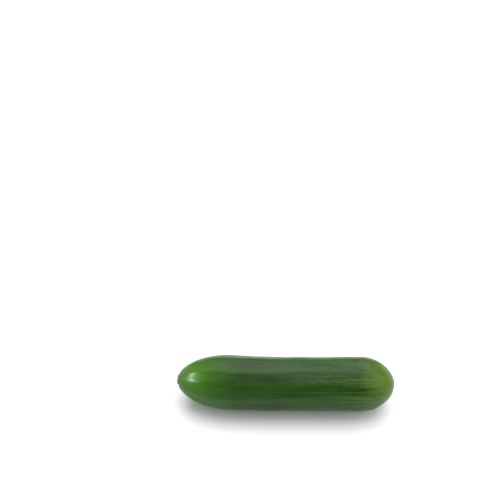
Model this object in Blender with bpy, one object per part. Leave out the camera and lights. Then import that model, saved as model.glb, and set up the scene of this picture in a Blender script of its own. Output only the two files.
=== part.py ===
"""A short, smooth-skinned cucumber, whole and as picked, lying on its side.

Metres, +Z up. The fruit lies along X, with the cut stem at -X and the blossom end at +X. Its origin is on the
surface that it rests on, in the middle of its box. It grew as one piece, so it is one solid: a turned outline,
raised into lobes and ribs by a formula, bent at the stem end, and flat where its weight rests.
"""

import math

import bmesh
import bpy
from mathutils import Vector

MM = 0.001
FULL_TURN = 2 * math.pi

# Driving dimensions
LENGTH = 160.0 * MM  # from the cut stem to the blossom end
RADIUS = 19.9 * MM  # mean radius of the barrel, before lobes and ribs
STEM_DOME = 38.0 * MM  # length over which the stem end tapers
STEM_DOME_START = 0.1 * MM  # counted from this far behind the cut
BLOSSOM_DOME = 26.0 * MM  # length of the rounder blossom end

# The stub of stem left by the cut
STUB_LENGTH = 1.8 * MM  # from the cut to the groove round its foot
STUB_RADIUS = 3.5 * MM
STUB_BEVEL = 0.4 * MM
STUB_WAIST = 0.9 * MM  # the stub is narrow as far as this, and then widens
STUB_WAIST_RADIUS = 3.6 * MM
STUB_FOOT_RADIUS = 3.8 * MM
SHOULDER_RADIUS = 5.4 * MM  # the fruit is blunt out to here
CUT_DIP = 0.4 * MM  # the dried cut face sinks in the middle
CUT_DIP_RADIUS = 1.4 * MM
STUB_ANGLES = 5  # the stem is faintly five-sided
STUB_ANGLE_HEIGHT = 0.22 * MM
STUB_ANGLE_FADE = 1.0 * MM  # its sides fade out from here to the shoulder

# The scar of the flower
SCAR_FOOT_RADIUS = 3.9 * MM
SCAR_RADIUS = 2.6 * MM  # to the top of its corky ring
SCAR_RING = 0.35 * MM  # the ring stands this high
SCAR_DIP = 0.5 * MM  # and its middle lies this deep

# Relief of the skin: how it fades out towards the two ends
STEM_FADE = 16.0 * MM
BLOSSOM_FADE = 14.3 * MM
SCAR_MARGIN = 1.2 * MM

# Relief of the skin: slow swelling along the barrel, and three lobes round it
SWELL = 0.18 * MM
SWELL_WAVES = 1.6
SWELL_START = -1.2  # radians
LOBES = 3
LOBE_HEIGHT = 0.45 * MM
LOBE_TURN = math.radians(24)

# Relief of the skin: low ribs
RIBS = 10
RIB_HEIGHT = 0.42 * MM
RIB_SHARPNESS = 1.4  # above 1, ridges are narrower than the flutes between them
RIB_UNEVEN = 0.3  # share by which one rib differs from the next
RIB_UNEVEN_START = 0.6  # radians
RIB_SPREAD = math.radians(5)  # ribs are not quite evenly spaced
RIB_SPREAD_START = 1.0  # radians
RIB_TURN = math.radians(7)  # where round the fruit they start
RIB_TWIST = math.radians(7)  # turn of the ribs from one end to the other
RIB_WANDER = math.radians(1.6)
RIB_WANDER_WAVES = 1.7
RIB_WANDER_START = 0.2  # of a wave
RIB_AT_STEM = 0.35  # extra share of height where the ribs gather below the stem
RIB_GATHER_START = 8.0 * MM
RIB_GATHER_LENGTH = 40.0 * MM

# How it lies
BEND = 5.0 * MM  # the stem end swings this far towards +Y
BEND_REACH = 84.0 * MM  # and the bend starts this far from the stem
FLAT_DEPTH = 0.5 * MM  # the skin is pressed flat by this much under its weight

# Resolution
SEGMENTS = 80  # round the fruit: eight to a rib
BARREL_RINGS = 14
STEM_RINGS = 11
BLOSSOM_RINGS = 9
MERGE_DISTANCE = 0.001 * MM

SKIN_COLOUR = (0.048, 0.125, 0.012, 1.0)
SKIN_ROUGHNESS = 0.38
SHARP_ANGLE = math.radians(40)


def clear_scene():
    for obj in list(bpy.data.objects):
        bpy.data.objects.remove(obj, do_unlink=True)


def smooth(share):
    """0 below 0, 1 above 1, and an even S between."""
    share = min(1.0, max(0.0, share))
    return share * share * (3 - 2 * share)


def dome_angle(radius):
    """The angle at which a dome's elliptical outline reaches a radius, from 0 at its tip to a right angle."""
    return math.asin(radius / RADIUS)


def stem_end():
    """(x, radius) from the middle of the cut face, down the stub, across its groove and over the shoulder."""
    outline = [
        (CUT_DIP, 0.0),
        (CUT_DIP, CUT_DIP_RADIUS),
        (0.0, STUB_RADIUS - STUB_BEVEL),
        (STUB_BEVEL, STUB_RADIUS),
        (STUB_WAIST, STUB_WAIST_RADIUS),
        (STUB_LENGTH, STUB_FOOT_RADIUS),
    ]
    start = dome_angle(SHOULDER_RADIUS)
    for ring in range(STEM_RINGS):
        angle = start + (math.pi / 2 - start) * ring / STEM_RINGS
        outline.append((STEM_DOME_START + STEM_DOME * (1 - math.cos(angle)), RADIUS * math.sin(angle)))
    return outline


def barrel():
    """(x, radius) of the rings between the two domes."""
    first = STEM_DOME_START + STEM_DOME
    last = LENGTH - BLOSSOM_DOME
    steps = BARREL_RINGS - 1
    return [(first + (last - first) * ring / steps, RADIUS) for ring in range(BARREL_RINGS)]


def blossom_end():
    """(x, radius) from the barrel over the blossom end to the middle of the flower's scar."""
    end = dome_angle(SCAR_FOOT_RADIUS)
    outline = []
    for ring in range(1, BLOSSOM_RINGS + 1):
        angle = math.pi / 2 - (math.pi / 2 - end) * ring / BLOSSOM_RINGS
        outline.append((LENGTH - BLOSSOM_DOME * (1 - math.cos(angle)), RADIUS * math.sin(angle)))
    foot = LENGTH - SCAR_RING
    outline += [
        (foot, SCAR_RADIUS + SCAR_RING),
        (LENGTH, SCAR_RADIUS),
        (foot, SCAR_RADIUS - 2 * SCAR_RING),
        (LENGTH - SCAR_DIP, 0.0),
    ]
    return outline


def turned_outline(mesh):
    """Spins the outline about X into a closed body."""
    outline = stem_end() + barrel() + blossom_end()
    points = [mesh.verts.new((x, 0.0, radius)) for x, radius in outline]
    lines = [mesh.edges.new(pair) for pair in zip(points, points[1:])]
    bmesh.ops.spin(
        mesh,
        geom=points + lines,
        cent=(0, 0, 0),
        axis=(1, 0, 0),
        angle=FULL_TURN,
        steps=SEGMENTS,
        use_merge=True,
    )
    bmesh.ops.remove_doubles(mesh, verts=mesh.verts, dist=MERGE_DISTANCE)
    bmesh.ops.recalc_face_normals(mesh, faces=mesh.faces)


def rib_height(x, turn):
    """How far the ribs raise the skin: low rounded ridges, unlike each other, between wide flutes."""
    along = x / LENGTH
    wander = math.sin(FULL_TURN * (RIB_WANDER_WAVES * along + RIB_WANDER_START))
    turn += RIB_TURN + RIB_TWIST * along + RIB_WANDER * wander
    turn += RIB_SPREAD * math.sin(2 * turn + RIB_SPREAD_START)
    ridge = ((1 + math.cos(RIBS * turn)) / 2) ** RIB_SHARPNESS
    own_share = 1 + RIB_UNEVEN * math.sin(4 * turn + RIB_UNEVEN_START) * math.sin(turn)
    gathered = 1 + RIB_AT_STEM * (1 - smooth((x - RIB_GATHER_START) / RIB_GATHER_LENGTH))
    return RIB_HEIGHT * ridge * own_share * gathered


def stub_angles(x, turn):
    """The five faint sides of the stub."""
    fade = 1 - smooth((x - STUB_ANGLE_FADE) / STUB_LENGTH)
    return STUB_ANGLE_HEIGHT * math.cos(STUB_ANGLES * turn) * fade


def relief(x, turn):
    """How far the skin stands out from the turned outline, fading out at the stub and at the scar."""
    fade = smooth((x - STUB_LENGTH) / STEM_FADE)
    fade *= smooth((LENGTH - SCAR_MARGIN - x) / BLOSSOM_FADE)
    lobes = LOBE_HEIGHT * math.cos(LOBES * (turn - LOBE_TURN))
    swelling = SWELL * math.sin(FULL_TURN * SWELL_WAVES * x / LENGTH + SWELL_START)
    return fade * (lobes + swelling + rib_height(x, turn)) + stub_angles(x, turn)


def spine(x):
    """The middle line of the fruit, and its direction: straight, then swinging towards +Y at the stem end."""
    share = max(0.0, 1 - x / BEND_REACH)
    middle = Vector((x, BEND * share * share, 0.0))
    slope = -2 * BEND * share / BEND_REACH
    return middle, Vector((1.0, slope, 0.0)).normalized()


def raise_and_bend(mesh):
    """Moves each point of the turned body out by the relief, and onto the bent spine."""
    up = Vector((0, 0, 1))
    for point in mesh.verts:
        x, y, z = point.co
        radius = math.hypot(y, z)
        turn = math.atan2(z, y)
        if radius > MERGE_DISTANCE:
            radius += relief(x, turn)
        middle, forward = spine(x)
        side = up.cross(forward)
        point.co = middle + radius * (math.cos(turn) * side + math.sin(turn) * up)


def press_flat(mesh):
    """Cuts the underside off level, closes the cut with one face, and stands the fruit on it."""
    level = min(point.co.z for point in mesh.verts) + FLAT_DEPTH
    cut = bmesh.ops.bisect_plane(
        mesh,
        geom=mesh.verts[:] + mesh.edges[:] + mesh.faces[:],
        plane_co=(0, 0, level),
        plane_no=(0, 0, 1),
        clear_inner=True,
    )
    rim = [piece for piece in cut["geom_cut"] if isinstance(piece, bmesh.types.BMEdge)]
    bmesh.ops.edgeloop_fill(mesh, edges=rim)
    bmesh.ops.translate(mesh, verts=mesh.verts, vec=(0, 0, -level))


def centre(mesh):
    """Puts the middle of the box above the origin."""
    for axis in (0, 1):
        places = [point.co[axis] for point in mesh.verts]
        shift = Vector((0, 0, 0))
        shift[axis] = -(min(places) + max(places)) / 2
        bmesh.ops.translate(mesh, verts=mesh.verts, vec=shift)


def skin_material():
    material = bpy.data.materials.new("cucumber_skin")
    material.use_nodes = True
    shader = material.node_tree.nodes["Principled BSDF"]
    shader.inputs["Base Color"].default_value = SKIN_COLOUR
    shader.inputs["Roughness"].default_value = SKIN_ROUGHNESS
    shader.inputs["Metallic"].default_value = 0.0
    return material


def build_cucumber():
    mesh = bmesh.new()
    turned_outline(mesh)
    raise_and_bend(mesh)
    press_flat(mesh)
    centre(mesh)
    data = bpy.data.meshes.new("cucumber")
    mesh.to_mesh(data)
    mesh.free()
    data.shade_smooth()
    data.set_sharp_from_angle(angle=SHARP_ANGLE)
    data.materials.append(skin_material())
    cucumber = bpy.data.objects.new("cucumber", data)
    bpy.context.scene.collection.objects.link(cucumber)


def main():
    clear_scene()
    build_cucumber()


main()
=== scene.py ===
"""A short, smooth-skinned cucumber lying on a white studio floor, seen from above its long side.

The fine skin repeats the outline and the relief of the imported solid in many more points, and adds what is too
small for the solid: bumps with spine scars, striations, the fibres of the cut stem and the corky flower scar.
Metres, +Z up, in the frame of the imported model.
"""

import math

import bpy
import numpy as np
from mathutils import Matrix, Vector


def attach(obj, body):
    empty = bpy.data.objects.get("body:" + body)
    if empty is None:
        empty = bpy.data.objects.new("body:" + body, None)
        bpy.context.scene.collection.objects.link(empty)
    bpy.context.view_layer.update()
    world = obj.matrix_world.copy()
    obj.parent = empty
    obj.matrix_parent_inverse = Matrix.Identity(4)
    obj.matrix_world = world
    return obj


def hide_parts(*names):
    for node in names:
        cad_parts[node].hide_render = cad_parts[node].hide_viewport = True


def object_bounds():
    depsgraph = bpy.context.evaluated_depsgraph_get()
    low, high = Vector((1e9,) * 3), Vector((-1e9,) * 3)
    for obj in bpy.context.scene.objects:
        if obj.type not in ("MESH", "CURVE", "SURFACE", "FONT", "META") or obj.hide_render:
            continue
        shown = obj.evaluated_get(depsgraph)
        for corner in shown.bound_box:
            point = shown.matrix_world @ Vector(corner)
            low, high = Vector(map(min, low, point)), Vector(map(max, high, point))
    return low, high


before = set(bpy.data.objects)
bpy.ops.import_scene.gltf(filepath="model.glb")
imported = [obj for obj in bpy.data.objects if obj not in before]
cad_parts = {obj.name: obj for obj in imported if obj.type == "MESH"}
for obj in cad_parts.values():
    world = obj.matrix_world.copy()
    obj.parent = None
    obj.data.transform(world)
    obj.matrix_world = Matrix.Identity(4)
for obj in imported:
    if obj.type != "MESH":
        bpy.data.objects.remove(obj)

CAD_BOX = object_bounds()
NODE = "cucumber"
MM = 0.001
FULL_TURN = 2 * math.pi
RNG = np.random.default_rng(7)

# The outline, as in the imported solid
LENGTH = 160.0 * MM
RADIUS = 19.9 * MM
STEM_DOME = 38.0 * MM
STEM_DOME_START = 0.1 * MM
BLOSSOM_DOME = 26.0 * MM
STUB_LENGTH = 1.8 * MM
STUB_RADIUS = 3.5 * MM
STUB_BEVEL = 0.4 * MM
STUB_WAIST = 0.9 * MM
STUB_WAIST_RADIUS = 3.6 * MM
STUB_FOOT_RADIUS = 3.8 * MM
SHOULDER_RADIUS = 5.4 * MM
CUT_DIP = 0.4 * MM
CUT_DIP_RADIUS = 1.4 * MM
SCAR_FOOT_RADIUS = 3.9 * MM
SCAR_RADIUS = 2.6 * MM
SCAR_RING = 0.35 * MM
SCAR_DIP = 0.5 * MM
DOME_STEPS = 400
OUTLINE_STEP = 0.02 * MM
SOFTENING = 0.14 * MM  # by which the corners of the outline are rounded

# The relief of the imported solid
STEM_FADE = 16.0 * MM
BLOSSOM_FADE = 14.3 * MM
SCAR_MARGIN = 1.2 * MM
SWELL = 0.18 * MM
SWELL_WAVES = 1.6
SWELL_START = -1.2
LOBES = 3
LOBE_HEIGHT = 0.45 * MM
LOBE_TURN = math.radians(24)
RIBS = 10
RIB_HEIGHT = 0.42 * MM
RIB_SHARPNESS = 1.4
RIB_UNEVEN = 0.3
RIB_UNEVEN_START = 0.6
RIB_SPREAD = math.radians(5)
RIB_SPREAD_START = 1.0
RIB_TURN = math.radians(7)
RIB_TWIST = math.radians(7)
RIB_WANDER = math.radians(1.6)
RIB_WANDER_WAVES = 1.7
RIB_WANDER_START = 0.2
RIB_AT_STEM = 0.35
RIB_GATHER_START = 8.0 * MM
RIB_GATHER_LENGTH = 40.0 * MM
STUB_ANGLES = 5
STUB_ANGLE_HEIGHT = 0.22 * MM
STUB_ANGLE_FADE = 1.0 * MM
BEND = 5.0 * MM
BEND_REACH = 84.0 * MM
FLAT_DEPTH = 0.5 * MM

# The finer relief
BUMP_STEP = (7.0 * MM, 22.0 * MM)  # from one bump on a rib to the next
BUMP_HEIGHT = (0.04 * MM, 0.16 * MM)
BUMP_RADIUS = (0.8 * MM, 1.6 * MM)
BUMP_RANGE = (15.0 * MM, 138.0 * MM)
BUMP_SCATTER = math.radians(6)
SPINE_SCAR_NEAR = 0.96 * MM  # a point's offset from its bump counts as far away from here
SPINE_SCAR_REACH = 1.2 * MM  # and wholly so after this much more
FAR_AWAY = 10.0 * MM
UNDULATION = 0.08 * MM
PUCKER = 0.012 * MM
STRIATION = 0.010 * MM
GRAIN = 0.004 * MM
STUB_CREASE = 0.07 * MM
SCAR_CREASE = 0.03 * MM
STUB_CREASE_RISE = 0.8 * MM  # creases rise over this width outside the stub
SCAR_CREASE_RISE = 1.0 * MM  # and outside the scar
CREASE_REACH = 9.0 * MM  # and run this far along the fruit
SCAR_CREASE_FADE = 8.0 * MM
CORK_GRAIN = 0.035 * MM
CORK_FIBRE = 0.03 * MM
CORK_FIBRE_RISE = 1.5 * MM

# Waves of the finer relief: how many, the fewest and most times round the fruit, the shortest and longest
UNDULATION_WAVES = (30, 2, 9, 22 * MM, 70 * MM)
PUCKER_WAVES = (60, 6, 30, 4.5 * MM, 14 * MM)
STRIATION_WAVES = (80, 45, 110, 18 * MM, 90 * MM)
CREASE_WAVES = (40, 10, 36, 12 * MM, 60 * MM)
FIBRE_WAVES = (30, 9, 34, 3 * MM, 30 * MM)

# Waves in space: how many, the shortest and the longest
GRAIN_WAVES = (40, 0.9 * MM, 2.2 * MM)
CORK_WAVES = (50, 0.5 * MM, 1.6 * MM)

# Where the cork ends: down the side of the stub, and outside the crest of the scar's ring
STUB_CORK = 0.3 * MM
STUB_CORK_FADE = 0.9 * MM
SCAR_CORK = 0.2 * MM
SCAR_CORK_FADE = 1.0 * MM
HOLLOW_RADIUS = 0.3 * MM
HOLLOW_FADE = 1.5 * MM

# Resolution
SEGMENTS = 280
RINGS = 348
END_STEP = 0.16 * MM  # from ring to ring at the two ends
END_REACH = 8.0 * MM  # this far from each end
END_FADE = 16.0 * MM
MIDDLE_STEP = 0.6 * MM
CREST_ROUNDS = 6  # in which crest_turn closes in on its answer


def smooth(share):
    """0 below 0, 1 above 1, and an even S between."""
    share = np.clip(share, 0.0, 1.0)
    return share * share * (3 - 2 * share)


# The outline

def dome_angle(radius):
    return math.asin(radius / RADIUS)


def sharp_outline():
    """(x, radius) from the middle of the cut face to the middle of the scar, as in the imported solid."""
    stub = [
        (CUT_DIP, 0.0),
        (CUT_DIP, CUT_DIP_RADIUS),
        (0.0, STUB_RADIUS - STUB_BEVEL),
        (STUB_BEVEL, STUB_RADIUS),
        (STUB_WAIST, STUB_WAIST_RADIUS),
        (STUB_LENGTH, STUB_FOOT_RADIUS),
    ]
    rising = np.linspace(dome_angle(SHOULDER_RADIUS), math.pi / 2, DOME_STEPS)
    falling = np.linspace(math.pi / 2, dome_angle(SCAR_FOOT_RADIUS), DOME_STEPS)
    stem = np.stack([STEM_DOME_START + STEM_DOME * (1 - np.cos(rising)), RADIUS * np.sin(rising)], 1)
    blossom = np.stack([LENGTH - BLOSSOM_DOME * (1 - np.cos(falling)), RADIUS * np.sin(falling)], 1)
    scar = [
        (LENGTH - SCAR_RING, SCAR_RADIUS + SCAR_RING),
        (LENGTH, SCAR_RADIUS),
        (LENGTH - SCAR_RING, SCAR_RADIUS - 2 * SCAR_RING),
        (LENGTH - SCAR_DIP, 0.0),
    ]
    return np.concatenate([stub, stem, blossom, scar])


def way_along(x, radius):
    return np.concatenate([[0], np.cumsum(np.hypot(np.diff(x), np.diff(radius)))])


def softened(x, radius):
    """The outline in short even steps, with its corners rounded. It is mirrored past the two ends."""
    way = way_along(x, radius)
    even = np.linspace(0, way[-1], int(way[-1] / OUTLINE_STEP))
    x, radius = np.interp(even, way, x), np.interp(even, way, radius)
    reach = int(4 * SOFTENING / OUTLINE_STEP)
    weight = np.exp(-(((np.arange(2 * reach + 1) - reach) * OUTLINE_STEP / SOFTENING) ** 2) / 2)
    weight /= weight.sum()
    x = np.concatenate([x[reach:0:-1], x, x[-2:-reach - 2:-1]])
    radius = np.concatenate([-radius[reach:0:-1], radius, -radius[-2:-reach - 2:-1]])
    return np.convolve(x, weight, "valid"), np.convolve(radius, weight, "valid")


def outline():
    """x, radius and way along the outline for each ring. The rings are closer together at the two ends."""
    x, radius = softened(*sharp_outline().T)
    way = way_along(x, radius)
    from_end = np.minimum(way, way[-1] - way)
    wanted_step = END_STEP + (MIDDLE_STEP - END_STEP) * smooth((from_end - END_REACH) / END_FADE)
    count = np.concatenate([[0], np.cumsum(np.diff(way) / wanted_step[1:])])
    places = np.interp(np.linspace(0, count[-1], RINGS), count, way)
    return np.interp(places, way, x), np.interp(places, way, radius), places


# The relief

def rib_turn(x, turn):
    """The turn that ribs are counted in: they twist, wander and are not quite evenly spaced."""
    along = x / LENGTH
    wander = np.sin(FULL_TURN * (RIB_WANDER_WAVES * along + RIB_WANDER_START))
    turn = turn + RIB_TURN + RIB_TWIST * along + RIB_WANDER * wander
    return turn + RIB_SPREAD * np.sin(2 * turn + RIB_SPREAD_START)


def ridge_share(x, turn):
    """1 on the crest of a rib, and 0 in the flute between two."""
    return ((1 + np.cos(RIBS * rib_turn(x, turn))) / 2) ** RIB_SHARPNESS


def rib_height(x, turn):
    counted = rib_turn(x, turn)
    own_share = 1 + RIB_UNEVEN * np.sin(4 * counted + RIB_UNEVEN_START) * np.sin(counted)
    gathered = 1 + RIB_AT_STEM * (1 - smooth((x - RIB_GATHER_START) / RIB_GATHER_LENGTH))
    return RIB_HEIGHT * ridge_share(x, turn) * own_share * gathered


def skin_share(x):
    """1 on the skin, fading to 0 at the stub and at the scar."""
    return smooth((x - STUB_LENGTH) / STEM_FADE) * smooth((LENGTH - SCAR_MARGIN - x) / BLOSSOM_FADE)


def relief(x, radius, turn):
    """How far the skin stands out from the turned outline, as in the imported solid."""
    lobes = LOBE_HEIGHT * np.cos(LOBES * (turn - LOBE_TURN))
    swelling = SWELL * np.sin(FULL_TURN * SWELL_WAVES * x / LENGTH + SWELL_START)
    stub = STUB_ANGLE_HEIGHT * np.cos(STUB_ANGLES * turn)
    stub = stub * (1 - smooth((x - STUB_ANGLE_FADE) / STUB_LENGTH)) * smooth(radius / STUB_RADIUS)
    return skin_share(x) * (lobes + swelling + rib_height(x, turn)) + stub


def waves_round(x, turn, count, fewest, most, shortest, longest):
    """Even noise on the fruit: many waves, each a whole number of times round it and of its own length."""
    height = np.zeros_like(turn)
    for _ in range(count):
        times = RNG.integers(fewest, most + 1) * RNG.choice([-1, 1])
        length = RNG.uniform(shortest, longest)
        height += np.cos(times * turn + FULL_TURN * x / length + RNG.uniform(0, FULL_TURN))
    return height / math.sqrt(count / 2)


def waves_through(points, count, shortest, longest):
    """Even noise in space: many plane waves in all directions."""
    height = np.zeros(len(points))
    for _ in range(count):
        direction = RNG.normal(size=3)
        direction *= FULL_TURN / (np.linalg.norm(direction) * RNG.uniform(shortest, longest))
        height += np.cos(points @ direction + RNG.uniform(0, FULL_TURN))
    return height / math.sqrt(count / 2)


def crest_turn(rib, x):
    """Where round the fruit the crest of a rib runs, which undoes rib_turn."""
    counted = FULL_TURN * rib / RIBS
    turn = counted
    for _ in range(CREST_ROUNDS):
        turn = counted - RIB_SPREAD * math.sin(2 * turn + RIB_SPREAD_START)
    wander = math.sin(FULL_TURN * (RIB_WANDER_WAVES * x / LENGTH + RIB_WANDER_START))
    return turn - RIB_TURN - RIB_TWIST * x / LENGTH - RIB_WANDER * wander


def bump_places():
    """(x, turn, height, radius) of the low bumps, in rows along the ribs."""
    places = []
    for rib in range(RIBS):
        x = BUMP_RANGE[0] + RNG.uniform(0, BUMP_STEP[1])
        while x < BUMP_RANGE[1]:
            turn = crest_turn(rib, x) + RNG.normal() * BUMP_SCATTER
            places.append((x, turn, RNG.uniform(*BUMP_HEIGHT), RNG.uniform(*BUMP_RADIUS)))
            x += RNG.uniform(*BUMP_STEP)
    return places


def bumps(x, radius, turn):
    """The bumps' height, and each point's offset from the nearest bump: along, round, and far away or not."""
    height = np.zeros_like(turn)
    nearest = np.full_like(turn, np.inf)
    offset = np.zeros((len(turn), 3))
    for place, at, tall, wide in bump_places():
        round_it = (np.mod(turn - at + math.pi, FULL_TURN) - math.pi) * radius
        along = x - place
        distance = np.hypot(along, round_it)
        height += tall * np.exp(-((distance / wide) ** 2))
        closer = distance < nearest
        nearest[closer] = distance[closer]
        offset[closer, 0] = along[closer]
        offset[closer, 1] = round_it[closer]
    offset[:, 2] = FAR_AWAY * smooth((nearest - SPINE_SCAR_NEAR) / SPINE_SCAR_REACH)
    return height, offset


# The mesh

def spine(x):
    """The middle line of the fruit and its sideways direction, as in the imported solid."""
    share = np.maximum(0.0, 1 - x / BEND_REACH)
    slope = -2 * BEND * share / BEND_REACH
    length = np.hypot(1.0, slope)
    middle = np.stack([x, BEND * share * share, np.zeros_like(x)], 1)
    side = np.stack([-slope / length, 1 / length, np.zeros_like(x)], 1)
    return middle, side


def surface_points(x, radius, turn):
    middle, side = spine(x)
    raised = radius + np.where(radius > 0, relief(x, radius, turn), 0)
    up = np.array([0.0, 0.0, 1.0])
    return middle + raised[:, None] * (np.cos(turn)[:, None] * side + np.sin(turn)[:, None] * up)


def grid_faces():
    """Quads between the rings, and a fan of triangles at each end, with their faces pointing out."""
    faces = []
    last = 1 + (RINGS - 2) * SEGMENTS
    for ring in range(RINGS - 3):
        low, high = 1 + ring * SEGMENTS, 1 + (ring + 1) * SEGMENTS
        for step in range(SEGMENTS):
            following = (step + 1) % SEGMENTS
            faces.append((low + step, low + following, high + following, high + step))
    for step in range(SEGMENTS):
        following = (step + 1) % SEGMENTS
        faces.append((0, 1 + following, 1 + step))
        faces.append((last, last - SEGMENTS + step, last - SEGMENTS + following))
    return faces


def bake_map(mesh, ways):
    """A map on which the fruit is unrolled: along it across the map, and round it up the map."""
    layer = mesh.uv_layers.new(name="OFBake")
    tips = (0, len(mesh.vertices) - 1)
    flat = []
    for face in mesh.polygons:
        steps = {corner: (corner - 1) % SEGMENTS for corner in face.vertices if corner not in tips}
        last = max(steps.values())
        if last == SEGMENTS - 1:
            # Next to the seam, the step numbered 0 is the one that closes the turn
            steps = {corner: step or SEGMENTS for corner, step in steps.items()}
        for corner in face.vertices:
            flat += [ways[corner], steps.get(corner, last) / SEGMENTS]
    layer.uv.foreach_set("vector", flat)


def add_attribute(mesh, name, values):
    kind = "FLOAT" if values.ndim == 1 else "FLOAT_VECTOR"
    attribute = mesh.attributes.new(name, kind, "POINT")
    attribute.data.foreach_set("value" if kind == "FLOAT" else "vector", values.astype(np.float32).ravel())


def vertex_normals(mesh):
    found = np.empty(len(mesh.vertices) * 3, np.float32)
    mesh.vertex_normals.foreach_get("vector", found)
    return found.reshape(-1, 3).astype(float)


def cork_share(x, radius):
    """1 on the cut face and the flower's scar, fading out down the stub and round the ring."""
    stub = 1 - smooth((x - STUB_CORK) / STUB_CORK_FADE)
    scar = (x > LENGTH / 2) * (1 - smooth((radius - SCAR_RADIUS - SCAR_CORK) / SCAR_CORK_FADE))
    return np.maximum(stub, scar)


def hollow_share(radius):
    """1 in the sunken middle of the cut face and of the scar, fading out towards their rims."""
    return 1 - smooth((radius - HOLLOW_RADIUS) / HOLLOW_FADE)


def fine_relief(points, x, radius, turn, cork):
    """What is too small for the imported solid, along the surface's normal."""
    on_skin = (1 - cork) * skin_share(x)
    bump_height, bump_offset = bumps(x, radius, turn)
    undulation = waves_round(x, turn, *UNDULATION_WAVES)
    puckers = waves_round(x, turn, *PUCKER_WAVES)
    striation = waves_round(x, turn, *STRIATION_WAVES)
    grain = waves_through(points, *GRAIN_WAVES)
    height = on_skin * (bump_height + UNDULATION * undulation + PUCKER * puckers)
    height += on_skin * (STRIATION * striation + GRAIN * grain)
    creases = waves_round(x, turn, *CREASE_WAVES)
    near_stub = smooth((radius - STUB_RADIUS) / STUB_CREASE_RISE) * (1 - smooth(x / CREASE_REACH))
    near_scar = smooth((radius - SCAR_RADIUS) / SCAR_CREASE_RISE)
    near_scar *= smooth((x - LENGTH + CREASE_REACH) / SCAR_CREASE_FADE)
    height += (STUB_CREASE * near_stub + SCAR_CREASE * near_scar) * creases
    coarse = waves_through(points, *CORK_WAVES)
    fibres = waves_round(x, turn, *FIBRE_WAVES)
    height += cork * (CORK_GRAIN * coarse + CORK_FIBRE * fibres * smooth(radius / CORK_FIBRE_RISE))
    return height, bump_offset


def press_flat(points, level):
    """Moves what hangs below the floor up to it."""
    points[:, 2] = np.maximum(points[:, 2] - level, 0.0)


def fit_box(points):
    """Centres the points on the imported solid's box, and shrinks them by what stands out of it."""
    low, high = (np.array(corner) for corner in CAD_BOX)
    for axis in (0, 1):
        points[:, axis] -= (points[:, axis].min() + points[:, axis].max()) / 2
        points[:, axis] *= min(1.0, (high[axis] - low[axis]) / np.ptp(points[:, axis]))
        points[:, axis] += (low[axis] + high[axis]) / 2
    points[:, 2] *= min(1.0, high[2] / points[:, 2].max())


def skin_mesh():
    ring_x, ring_radius, ring_way = outline()
    turns = np.linspace(-math.pi, math.pi, SEGMENTS, endpoint=False)
    inner = slice(1, RINGS - 1)
    x = np.concatenate([[ring_x[0]], np.repeat(ring_x[inner], SEGMENTS), [ring_x[-1]]])
    radius = np.concatenate([[0.0], np.repeat(ring_radius[inner], SEGMENTS), [0.0]])
    way = np.concatenate([[0.0], np.repeat(ring_way[inner], SEGMENTS), [ring_way[-1]]])
    turn = np.concatenate([[0.0], np.tile(turns, RINGS - 2), [0.0]])
    points = surface_points(x, radius, turn)
    level = points[:, 2].min() + FLAT_DEPTH

    mesh = bpy.data.meshes.new("cucumber_skin")
    mesh.from_pydata(points.tolist(), [], grid_faces())
    cork = cork_share(x, radius)
    height, bump_offset = fine_relief(points, x, radius, turn, cork)
    points = points + vertex_normals(mesh) * height[:, None]
    press_flat(points, level)
    fit_box(points)
    mesh.vertices.foreach_set("co", points.astype(np.float32).ravel())
    mesh.update()
    mesh.shade_smooth()

    counted = rib_turn(x, turn)
    unrolled = np.stack([way, RADIUS * np.cos(counted), RADIUS * np.sin(counted)], 1)
    add_attribute(mesh, "unrolled", unrolled)
    add_attribute(mesh, "bump_offset", bump_offset)
    add_attribute(mesh, "ridge", ridge_share(x, turn))
    add_attribute(mesh, "cork", cork)
    add_attribute(mesh, "hollow", hollow_share(radius))
    bake_map(mesh, way / way[-1])
    return mesh


# Materials

# The sockets of a Mix node that hold colours
FIRST_COLOUR = 6
SECOND_COLOUR = 7
MIXED_COLOUR = 2


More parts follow.
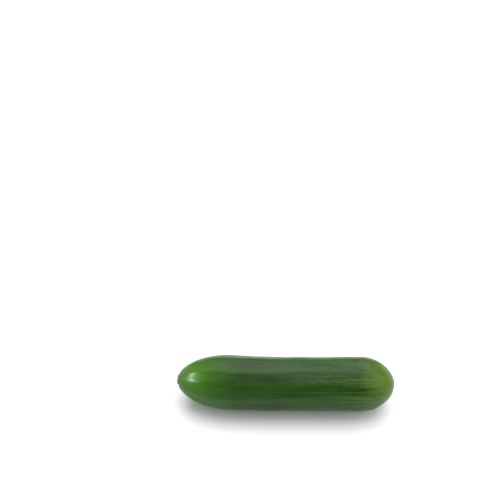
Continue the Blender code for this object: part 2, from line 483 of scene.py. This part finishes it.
class Nodes:
    """Adds nodes to one tree and links them. A value may be a number, a colour or another node's output."""

    def __init__(self, tree):
        self.tree = tree

    def add(self, kind, inputs=(), **settings):
        node = self.tree.nodes.new(kind)
        for name, value in settings.items():
            setattr(node, name, value)
        for name, value in dict(inputs).items():
            self.put(node.inputs[name], value)
        return node

    def put(self, socket, value):
        if isinstance(value, bpy.types.NodeSocket):
            self.tree.links.new(value, socket)
        else:
            socket.default_value = value

    def attribute(self, name, output):
        return self.add("ShaderNodeAttribute", attribute_name=name).outputs[output]

    def maths(self, operation, *values):
        node = self.add("ShaderNodeMath", operation=operation)
        for socket, value in zip(node.inputs, values):
            self.put(socket, value)
        return node.outputs[0]

    def total(self, terms):
        """The sum of values, each times its own weight."""
        result = 0.0
        for value, weight in terms:
            result = self.maths("MULTIPLY_ADD", value, weight, result)
        return result

    def stretched(self, vector, scale):
        node = self.add("ShaderNodeVectorMath", operation="MULTIPLY")
        self.put(node.inputs[0], vector)
        self.put(node.inputs[1], scale)
        return node.outputs[0]

    def noise(self, vector, scale=1.0, detail=3.0, roughness=0.5):
        inputs = {"Vector": vector, "Scale": scale, "Detail": detail, "Roughness": roughness}
        return self.add("ShaderNodeTexNoise", inputs).outputs["Fac"]

    def ranged(self, value, low, high, to_low=0.0, to_high=1.0):
        """An even S from to_low at low to to_high at high."""
        node = self.add("ShaderNodeMapRange", interpolation_type="SMOOTHSTEP")
        for index, given in enumerate((value, low, high, to_low, to_high)):
            self.put(node.inputs[index], given)
        return node.outputs[0]

    def mixed(self, share, first, second):
        node = self.add("ShaderNodeMix", {"Factor": share}, data_type="RGBA")
        self.put(node.inputs[FIRST_COLOUR], first)
        self.put(node.inputs[SECOND_COLOUR], second)
        return node.outputs[MIXED_COLOUR]

    def bump(self, height, distance, strength, normal=None):
        inputs = {"Height": height, "Distance": distance, "Strength": strength}
        node = self.add("ShaderNodeBump", inputs)
        if normal is not None:
            self.put(node.inputs["Normal"], normal)
        return node.outputs["Normal"]


DARK_GREEN = (0.004, 0.028, 0.0002, 1)
MID_GREEN = (0.014, 0.065, 0.001, 1)
STEM_GREEN = (0.027, 0.103, 0.001, 1)
PALE_STREAK = (0.080, 0.170, 0.014, 1)
BLOSSOM_GREEN = (0.056, 0.114, 0.0004, 1)
STUB_GREEN = (0.170, 0.260, 0.090, 1)
BELLY_GREEN = (0.080, 0.150, 0.025, 1)
SPINE_SCAR = (0.200, 0.260, 0.080, 1)
CORK_PALE = (0.400, 0.290, 0.150, 1)
CORK_DARK = (0.110, 0.065, 0.028, 1)
CUT_GREEN = (0.200, 0.235, 0.080, 1)

# Where one colour gives way to the next, measured along the fruit from its cut
STEM_COLOUR = (50 * MM, 10 * MM)
BLOSSOM_COLOUR = (170 * MM, 199 * MM)  # once the shifts below are added to the place
BAND_SHIFT = 26 * MM
CLOUD_SHIFT = 40 * MM
BLUSH_SHIFT = 12 * MM
BLUSH_TURN = math.radians(118)  # the side on which the blossom end is yellowest
STREAKED = (60 * MM, 150 * MM)  # streaks get stronger along this stretch
STREAK_SPREAD = (20 * MM, 156 * MM)  # and denser along this one
STUB_FOOT_PAINTED_SHADE = (11 * MM, 6.5 * MM)  # painted shade: a dark ring in the groove at the stub's foot, by the way along the skin
STUB_SIDE = (5.8 * MM, 4.9 * MM)
BELLY_HEIGHT = 8 * MM  # the underside is paler below this

# How strongly each colour covers what lies below it
STREAK_STRENGTH = (0.18, 0.6)  # near the stem, and near the blossom end
STUB_FOOT_PAINTED_SHADE_STRENGTH = 0.75
BELLY_STRENGTH = 0.45
SPECK_STRENGTH = (0.04, 0.32)  # where specks are sparse, and where they are dense
HALO_STRENGTH = 0.2
SPINE_SCAR_STRENGTH = 0.5
HOLLOW_STRENGTH = 0.6
RIM_STRENGTH = 0.65
CUT_STRENGTH = 0.7

# The levels between which a noise, or the share of cork, turns from off to on
GREEN_LEVELS = (0.55, 1.0)
STREAK_LEVEL = (0.66, 0.5)  # where a streak starts, near the stem and near the blossom end
STREAK_EDGE = 0.12  # it is full this far above that level
SPECK_LEVELS = (0.24, 0.1)  # distances from the middle of a cell
SPECK_CLUSTER_LEVELS = (0.42, 0.62)
SPINE_SCAR_LEVELS = (0.4, 0.62)
CORK_LEVELS = (0.36, 0.62)
CUT_LEVELS = (0.02, 0.45)
RIM_LEVELS = (0.4, 0.1)
FRAY_LEVELS = (0.34, 0.66)
FRAY = (0.08, 0.75)  # the share of cork at which its frayed edge lies
FRAY_EDGE = 0.2  # cork covers all this far above that share
SHEEN_LEVELS = (0.36, 0.64)

# How fine the noises on the unrolled skin are: along the fruit, and twice across
CLOUDS = (38, 70, 70)
BANDS = (16, 260, 260)
FINE_BANDS = (30, 800, 800)
HAIRS = (24, 1150, 1150)
SHEEN_BANDS = (22, 380, 380)
CORK_FIBRES = (60, 500, 500)

# How fine the noises that are even all round are
MOTTLE = 520
SPECKS = 700
SPECK_CLUSTERS = 60
SPINE_SCAR_CLUSTERS = 130
SHEEN_PATCHES = 180
DIMPLES = 700
PORES = 2300
CORK_CRUMBS = 1500

# The distance from a spine scar at which its halo and its own colour start and are full
HALO = (1.4 * MM, 0.2 * MM)
SPINE_SCAR_EDGE = (0.28 * MM, 0.10 * MM)

# The height and the strength of the finest relief, and how rough the skin is
SKIN_BUMP = (0.04 * MM, 0.6)
CORK_BUMP = (0.35 * MM, 0.9)
SKIN_ROUGHNESS = (0.21, 0.46)
STREAK_ROUGHNESS = 0.06
CORK_ROUGHNESS = 0.45
SKIN_FINISH = {
    "Metallic": 0.0,
    "IOR": 1.42,
    "Specular IOR Level": 0.26,
    "Coat Weight": 0.06,
    "Coat Roughness": 0.2,
    "Subsurface Weight": 0.1,
    "Subsurface Radius": (0.5, 1.0, 0.2),
    "Subsurface Scale": 1.5 * MM,
}


def way_from_cut(nodes, place):
    """How far along X a place lies from the end with the cut stem."""
    axes = nodes.add("ShaderNodeSeparateXYZ", {"Vector": place})
    return nodes.maths("ADD", axes.outputs["X"], LENGTH / 2)


def skin_colour(nodes, unrolled, place, ridge, streak):
    """Dark green clouded with mid green, lighter at the stem and yellow-green with streaks at the far end."""
    along = way_from_cut(nodes, place)
    bands = nodes.noise(nodes.stretched(unrolled, BANDS), detail=4, roughness=0.6)
    fine_bands = nodes.noise(nodes.stretched(unrolled, FINE_BANDS), detail=4, roughness=0.65)
    clouds = nodes.noise(nodes.stretched(unrolled, CLOUDS), detail=5, roughness=0.6)
    mottle = nodes.noise(place, MOTTLE, detail=4, roughness=0.65)

    lightness = nodes.total([(clouds, 0.45), (bands, 0.4), (fine_bands, 0.35), (mottle, 0.25), (ridge, 0.14)])
    colour = nodes.mixed(nodes.ranged(lightness, *GREEN_LEVELS), DARK_GREEN, MID_GREEN)

    uneven = nodes.maths("MULTIPLY", nodes.maths("SUBTRACT", bands, 0.5), BAND_SHIFT)
    at_stem = nodes.ranged(nodes.maths("ADD", along, uneven), *STEM_COLOUR)
    colour = nodes.mixed(at_stem, colour, STEM_GREEN)

    blush = nodes.add("ShaderNodeVectorMath", operation="DOT_PRODUCT")
    nodes.put(blush.inputs[0], unrolled)
    nodes.put(blush.inputs[1], (0.0, math.cos(BLUSH_TURN) / RADIUS, math.sin(BLUSH_TURN) / RADIUS))
    shifts = [(bands, BAND_SHIFT), (clouds, CLOUD_SHIFT), (blush.outputs["Value"], BLUSH_SHIFT)]
    at_blossom = nodes.ranged(nodes.maths("ADD", along, nodes.total(shifts)), *BLOSSOM_COLOUR)
    colour = nodes.mixed(at_blossom, colour, BLOSSOM_GREEN)

    streak_strength = nodes.ranged(along, *STREAKED, *STREAK_STRENGTH)
    colour = nodes.mixed(nodes.maths("MULTIPLY", streak, streak_strength), colour, PALE_STREAK)

    way = nodes.add("ShaderNodeSeparateXYZ", {"Vector": unrolled}).outputs["X"]
    # Painted shade: the groove round the stub's foot is darkened towards dark green
    colour = nodes.mixed(nodes.ranged(way, *STUB_FOOT_PAINTED_SHADE, 0.0, STUB_FOOT_PAINTED_SHADE_STRENGTH), colour, DARK_GREEN)
    colour = nodes.mixed(nodes.ranged(way, *STUB_SIDE), colour, STUB_GREEN)

    height = nodes.add("ShaderNodeSeparateXYZ", {"Vector": place}).outputs["Z"]
    belly = nodes.ranged(height, BELLY_HEIGHT, 0.0, 0.0, BELLY_STRENGTH)
    return nodes.mixed(belly, colour, BELLY_GREEN)


def with_spots(nodes, colour, place):
    """Small pale specks all over, and a paler patch round the scar of a spine on each bump."""
    cells = nodes.add("ShaderNodeTexVoronoi", {"Vector": place, "Scale": SPECKS, "Randomness": 1.0})
    specks = nodes.ranged(cells.outputs["Distance"], *SPECK_LEVELS)
    clusters = nodes.noise(place, SPECK_CLUSTERS)
    strength = nodes.ranged(clusters, *SPECK_CLUSTER_LEVELS, *SPECK_STRENGTH)
    colour = nodes.mixed(nodes.maths("MULTIPLY", specks, strength), colour, PALE_STREAK)

    offset = nodes.attribute("bump_offset", "Vector")
    distance = nodes.add("ShaderNodeVectorMath", {"Vector": offset}, operation="LENGTH").outputs["Value"]
    strength = nodes.ranged(nodes.noise(place, SPINE_SCAR_CLUSTERS), *SPINE_SCAR_LEVELS)
    halo = nodes.ranged(distance, *HALO, 0.0, HALO_STRENGTH)
    colour = nodes.mixed(nodes.maths("MULTIPLY", halo, strength), colour, PALE_STREAK)
    scar = nodes.ranged(distance, *SPINE_SCAR_EDGE, 0.0, SPINE_SCAR_STRENGTH)
    return nodes.mixed(nodes.maths("MULTIPLY", scar, strength), colour, SPINE_SCAR)


def skin_material():
    material = bpy.data.materials.new("cucumber_skin")
    material.use_nodes = True
    shader = material.node_tree.nodes["Principled BSDF"]
    nodes = Nodes(material.node_tree)
    unrolled = nodes.attribute("unrolled", "Vector")
    place = nodes.add("ShaderNodeTexCoord").outputs["Object"]
    ridge = nodes.attribute("ridge", "Fac")
    cork = nodes.attribute("cork", "Fac")

    # Pale streaks, dense at the blossom end and thinning out towards the stem
    hairs = nodes.noise(nodes.stretched(unrolled, HAIRS), detail=4, roughness=0.6)
    level = nodes.ranged(way_from_cut(nodes, place), *STREAK_SPREAD, *STREAK_LEVEL)
    streak = nodes.ranged(nodes.maths("SUBTRACT", hairs, level), 0.0, STREAK_EDGE)

    colour = skin_colour(nodes, unrolled, place, ridge, streak)
    colour = with_spots(nodes, colour, place)

    # Cork on the cut and on the scar
    fibres = nodes.noise(nodes.stretched(unrolled, CORK_FIBRES), detail=4, roughness=0.65)
    crumbs = nodes.noise(place, CORK_CRUMBS, detail=5, roughness=0.65)
    cork_mix = nodes.total([(fibres, 0.5), (crumbs, 0.5)])
    cork_colour = nodes.mixed(nodes.ranged(cork_mix, *CORK_LEVELS), CORK_DARK, CORK_PALE)
    hollow = nodes.maths("MULTIPLY", nodes.attribute("hollow", "Fac"), HOLLOW_STRENGTH)
    cork_colour = nodes.mixed(hollow, cork_colour, CORK_DARK)
    # Its edge runs out in fibres, and is darker
    inside = nodes.maths("SUBTRACT", cork, nodes.ranged(fibres, *FRAY_LEVELS, *FRAY))
    rim = nodes.ranged(inside, *RIM_LEVELS, 0.0, RIM_STRENGTH)
    cork_colour = nodes.mixed(rim, cork_colour, CORK_DARK)
    colour = nodes.mixed(nodes.ranged(cork, *CUT_LEVELS, 0.0, CUT_STRENGTH), colour, CUT_GREEN)
    cork_cover = nodes.ranged(inside, 0.0, FRAY_EDGE)
    colour = nodes.mixed(cork_cover, colour, cork_colour)
    nodes.put(shader.inputs["Base Color"], colour)

    # The sheen is uneven in patches and in bands along the fruit
    sheen_patches = nodes.noise(place, SHEEN_PATCHES, detail=5, roughness=0.65)
    sheen_bands = nodes.noise(nodes.stretched(unrolled, SHEEN_BANDS), detail=4, roughness=0.6)
    sheen = nodes.total([(sheen_patches, 0.5), (sheen_bands, 0.5)])
    roughness = nodes.ranged(sheen, *SHEEN_LEVELS, *SKIN_ROUGHNESS)
    rougher = [(roughness, 1.0), (streak, STREAK_ROUGHNESS), (cork_cover, CORK_ROUGHNESS)]
    nodes.put(shader.inputs["Roughness"], nodes.total(rougher))

    pores = nodes.noise(place, PORES, roughness=0.6)
    dimples = nodes.noise(place, DIMPLES, detail=2)
    skin_height = nodes.total([(pores, 0.35), (dimples, 0.6), (hairs, 0.8), (sheen_bands, 3.0)])
    normal = nodes.bump(skin_height, *SKIN_BUMP)
    normal = nodes.bump(nodes.maths("MULTIPLY", cork_mix, cork_cover), *CORK_BUMP, normal)
    nodes.put(shader.inputs["Normal"], normal)

    for name, value in SKIN_FINISH.items():
        shader.inputs[name].default_value = value
    return material


def build_cucumber():
    skin = bpy.data.objects.new("cucumber_fruit", skin_mesh())
    skin.data.materials.append(skin_material())
    bpy.context.scene.collection.objects.link(skin)
    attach(skin, "root")
    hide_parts(NODE)


# The studio

FLOOR_SIZE = 60.0
FLOOR_COLOUR = (0.87, 0.87, 0.87, 1)
FLOOR_CLOUD = (0.90, 0.90, 0.90, 1)
FLOOR_ROUGHNESS = 0.7
FLOOR_SPECULAR = 0.2
BACKDROP = (1.0, 1.0, 1.0, 1)
CEILING = (0.30, 0.30, 0.30, 1)
BACKDROP_TOP = 0.14  # sine of the height at which the backdrop starts to darken
CEILING_START = 0.28
SIDE_PANEL_EDGE = (0.65, 0.85)  # sine of the angle at which the white panels at the two sides begin
SIDE_PANEL_FOOT = (0.30, 0.45)  # sine of the height of their lower edge
SIDE_PANEL = (1.8, 1.8, 1.8, 1)

# Distant soft lights: where each shines from, its strength and how wide it looks from the floor
DISTANT_LIGHTS = {
    "key_light": ((0.06, 0.42, 0.91), 3.2, math.radians(74)),
    "fill_light": ((0.66, -0.38, 0.65), 1.1, math.radians(70)),
}

# A small lamp at the left that shines on the stem end alone and gives it its highlight
STEM_LAMP_DIRECTION = Vector((-0.893, -0.060, 0.446))
STEM_LAMP_TARGET = Vector((-69, -3, 33)) * MM
STEM_LAMP_DISTANCE = 0.2
STEM_LAMP_POWER = 5.4
STEM_LAMP_CONE = math.radians(5)
STEM_LAMP_RADIUS = 11 * MM


def floor_material():
    material = bpy.data.materials.new("studio_floor")
    material.use_nodes = True
    shader = material.node_tree.nodes["Principled BSDF"]
    nodes = Nodes(material.node_tree)
    place = nodes.add("ShaderNodeTexCoord").outputs["Object"]
    cloud = nodes.noise(place, scale=3, detail=2)
    nodes.put(shader.inputs["Base Color"], nodes.mixed(cloud, FLOOR_COLOUR, FLOOR_CLOUD))
    shader.inputs["Roughness"].default_value = FLOOR_ROUGHNESS
    shader.inputs["Specular IOR Level"].default_value = FLOOR_SPECULAR
    return material


def build_floor():
    half = FLOOR_SIZE / 2
    mesh = bpy.data.meshes.new("studio_floor")
    corners = [(-half, -half, 0), (half, -half, 0), (half, half, 0), (-half, half, 0)]
    mesh.from_pydata(corners, [], [(0, 1, 2, 3)])
    mesh.materials.append(floor_material())
    floor = bpy.data.objects.new("studio_floor", mesh)
    bpy.context.scene.collection.objects.link(floor)


def build_world():
    """A pale backdrop all round, under a dim ceiling, with a bright panel at each side."""
    world = bpy.data.worlds.new("studio")
    bpy.context.scene.world = world
    world.use_nodes = True
    nodes = Nodes(world.node_tree)
    direction = nodes.add("ShaderNodeTexCoord").outputs["Generated"]
    axes = nodes.add("ShaderNodeSeparateXYZ", {"Vector": direction}).outputs
    height = axes["Z"]
    colour = nodes.mixed(nodes.ranged(height, BACKDROP_TOP, CEILING_START), BACKDROP, CEILING)
    panel = nodes.ranged(nodes.maths("ABSOLUTE", axes["X"]), *SIDE_PANEL_EDGE)
    panel = nodes.maths("MULTIPLY", panel, nodes.ranged(height, *SIDE_PANEL_FOOT))
    colour = nodes.mixed(panel, colour, SIDE_PANEL)
    nodes.put(world.node_tree.nodes["Background"].inputs["Color"], colour)


def place_light(light, location, direction):
    """Puts a light at a location, shining from a direction."""
    lamp = bpy.data.objects.new(light.name, light)
    lamp.location = location
    lamp.rotation_euler = (-direction).to_track_quat("-Z", "Y").to_euler()
    bpy.context.scene.collection.objects.link(lamp)


def build_lights():
    for name, (direction, strength, width) in DISTANT_LIGHTS.items():
        light = bpy.data.lights.new(name, "SUN")
        light.energy = strength
        light.angle = width
        place_light(light, Vector(direction), Vector(direction))
    stem = bpy.data.lights.new("stem_lamp", "SPOT")
    stem.energy = STEM_LAMP_POWER
    stem.spot_size = STEM_LAMP_CONE
    stem.spot_blend = 1.0
    stem.shadow_soft_size = STEM_LAMP_RADIUS
    place_light(stem, STEM_LAMP_TARGET + STEM_LAMP_DISTANCE * STEM_LAMP_DIRECTION, STEM_LAMP_DIRECTION)


# The camera stands where the photograph was taken from. The image is 500 pixels square.
IMAGE_PIXELS = 500
FOCAL_PIXELS = 1300
SENSOR_WIDTH = 36
CAMERA_PITCH = math.radians(44)  # below the horizon
FRUIT_PIXEL = (285.5, 383.3)  # the middle of the fruit in the photograph
FRUIT_PIXELS = 217.0  # its length there
MIDDLE_HEIGHT = 20 * MM


def build_camera():
    data = bpy.data.cameras.new("camera")
    data.sensor_width = SENSOR_WIDTH
    data.lens = SENSOR_WIDTH * FOCAL_PIXELS / IMAGE_PIXELS
    camera = bpy.data.objects.new("camera", data)
    right = Vector((1, 0, 0))
    forward = Vector((0, math.cos(CAMERA_PITCH), -math.sin(CAMERA_PITCH)))
    up = right.cross(forward)
    across = (FRUIT_PIXEL[0] - IMAGE_PIXELS / 2) / FOCAL_PIXELS
    down = (FRUIT_PIXEL[1] - IMAGE_PIXELS / 2) / FOCAL_PIXELS
    distance = (CAD_BOX[1].x - CAD_BOX[0].x) * FOCAL_PIXELS / FRUIT_PIXELS
    location = Vector((0, 0, MIDDLE_HEIGHT)) - distance * (forward + across * right - down * up)
    camera.matrix_world = Matrix.Translation(location) @ Matrix((right, up, -forward)).transposed().to_4x4()
    bpy.context.scene.collection.objects.link(camera)
    bpy.context.scene.camera = camera


def main():
    bpy.context.scene.view_settings.view_transform = "Standard"
    build_camera()
    build_floor()
    build_world()
    build_lights()
    build_cucumber()
    bpy.context.view_layer.update()


main()
